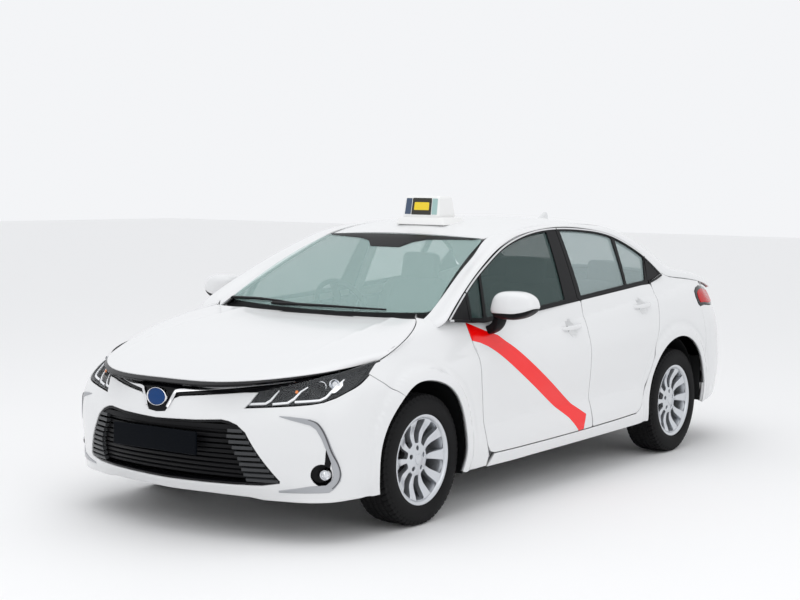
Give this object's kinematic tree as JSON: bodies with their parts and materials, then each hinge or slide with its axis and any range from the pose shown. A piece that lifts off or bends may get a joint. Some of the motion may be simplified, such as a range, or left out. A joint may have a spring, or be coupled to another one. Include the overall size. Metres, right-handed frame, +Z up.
{
  "type": "four-door taxi sedan",
  "caption": "Four-door sedan taxi with a roof sign: hinged doors, hood and boot lid, steered front wheels and free-turning wheels.",
  "frame": {"origin": "on the ground below the middle of the car's length and width", "axes": "+Z up, +Y towards the tail, +X towards the car's left side; the nose points to -Y"},
  "size_m": [2.118, 4.63, 1.557],
  "materials": {
    "body_paint": "gloss white",
    "underbody_paint": "satin black",
    "black_trim": "satin black",
    "alloy": "painted silver",
    "lamp_lens": "clear",
    "red_lens": "clear red",
    "clear_glass": "clear",
    "tinted_glass": "tinted",
    "cast_block": "raw",
    "exhaust_steel": "dull",
    "dash_plastic": "soft grain",
    "seat_cloth": "woven",
    "plate_face": "blank",
    "sign_plastic": "white",
    "tyre_rubber": "dull black"
  },
  "bodies": {
    "body": {"floor_pan": "underbody_paint", "boot_floor": "underbody_paint", "front_rails": "underbody_paint", "front_liners": "underbody_paint", "rear_liners": "underbody_paint", "front_fenders": "body_paint", "front_bumper": "body_paint", "rear_bumper": "body_paint", "grille": "black_trim", "radiator": "alloy", "headlamps": "lamp_lens", "tail_lamps": "red_lens", "roof_panel": "body_paint", "scuttle": "black_trim", "windscreen": "clear_glass", "rear_window": "clear_glass", "engine": "cast_block", "front_subframe": "underbody_paint", "rear_axle": "underbody_paint", "exhaust": "exhaust_steel", "dashboard": "dash_plastic", "front_seats": "seat_cloth", "rear_seat": "seat_cloth", "front_plate": "plate_face", "roof_sign": "sign_plastic", "antenna_fin": "body_paint", "side_frame_left": "body_paint", "side_frame_right": "body_paint"},
    "hood": {"hood": "body_paint"},
    "boot_lid": {"boot_lid": "body_paint", "rear_plate": "plate_face"},
    "steering_wheel": {"steering_wheel": "dash_plastic"},
    "door_front_left": {"door_front_left": "body_paint", "door_front_glass_left": "tinted_glass", "mirror_left": "body_paint"},
    "door_rear_left": {"door_rear_left": "body_paint", "door_rear_glass_left": "tinted_glass"},
    "knuckle_left": {"knuckle_left": "cast_block"},
    "wheel_front_left": {"tyre_front_left": "tyre_rubber", "rim_front_left": "alloy"},
    "wheel_rear_left": {"tyre_rear_left": "tyre_rubber", "rim_rear_left": "alloy"},
    "door_front_right": {"door_front_right": "body_paint", "door_front_glass_right": "tinted_glass", "mirror_right": "body_paint"},
    "door_rear_right": {"door_rear_right": "body_paint", "door_rear_glass_right": "tinted_glass"},
    "knuckle_right": {"knuckle_right": "cast_block"},
    "wheel_front_right": {"tyre_front_right": "tyre_rubber", "rim_front_right": "alloy"},
    "wheel_rear_right": {"tyre_rear_right": "tyre_rubber", "rim_rear_right": "alloy"}
  },
  "joints": [
    {"name": "hood_hinge", "type": "hinge", "parent": "body", "child": "hood", "pos_m": [0, -1.12, 0.962], "axis": [-1, 0, 0], "range_deg": [0, 50]},
    {"name": "boot_hinge", "type": "hinge", "parent": "body", "child": "boot_lid", "pos_m": [0, 1.8, 1.106], "axis": [1, 0, 0], "range_deg": [0, 75]},
    {"name": "door_front_left_hinge", "type": "hinge", "parent": "body", "child": "door_front_left", "pos_m": [0.89, -0.932, 0.6], "axis": [0, 0, -1], "range_deg": [0, 68]},
    {"name": "door_rear_left_hinge", "type": "hinge", "parent": "body", "child": "door_rear_left", "pos_m": [0.89, 0.212, 0.6], "axis": [0, 0, -1], "range_deg": [0, 66]},
    {"name": "steer_left", "type": "hinge", "parent": "body", "child": "knuckle_left", "pos_m": [0.7, -1.38, 0.2], "axis": [-0.204, 0, 0.979], "range_deg": [-35, 35]},
    {"name": "wheel_front_left_spin", "type": "hinge", "parent": "knuckle_left", "child": "wheel_front_left", "pos_m": [0.7655, -1.38, 0.316], "axis": [1, 0, 0], "continuous": true},
    {"name": "wheel_rear_left_spin", "type": "hinge", "parent": "body", "child": "wheel_rear_left", "pos_m": [0.772, 1.32, 0.316], "axis": [1, 0, 0], "continuous": true},
    {"name": "door_front_right_hinge", "type": "hinge", "parent": "body", "child": "door_front_right", "pos_m": [-0.89, -0.932, 0.6], "axis": [0, 0, 1], "range_deg": [0, 68]},
    {"name": "door_rear_right_hinge", "type": "hinge", "parent": "body", "child": "door_rear_right", "pos_m": [-0.89, 0.212, 0.6], "axis": [0, 0, 1], "range_deg": [0, 66]},
    {"name": "steer_right", "type": "hinge", "parent": "body", "child": "knuckle_right", "pos_m": [-0.7, -1.38, 0.2], "axis": [0.204, 0, 0.979], "range_deg": [-35, 35]},
    {"name": "wheel_front_right_spin", "type": "hinge", "parent": "knuckle_right", "child": "wheel_front_right", "pos_m": [-0.7655, -1.38, 0.316], "axis": [1, 0, 0], "continuous": true},
    {"name": "wheel_rear_right_spin", "type": "hinge", "parent": "body", "child": "wheel_rear_right", "pos_m": [-0.772, 1.32, 0.316], "axis": [1, 0, 0], "continuous": true},
    {"name": "steering_wheel_turn", "type": "hinge", "parent": "body", "child": "steering_wheel", "pos_m": [-0.37, -0.42, 0.915], "axis": [0, 0.9135, 0.4067], "range_deg": [-490, 490]}
  ],
  "couplings": [
    {"joint": "steer_right", "follows": "steer_left", "ratio": 1},
    {"joint": "steering_wheel_turn", "follows": "steer_left", "ratio": 13.6}
  ]
}
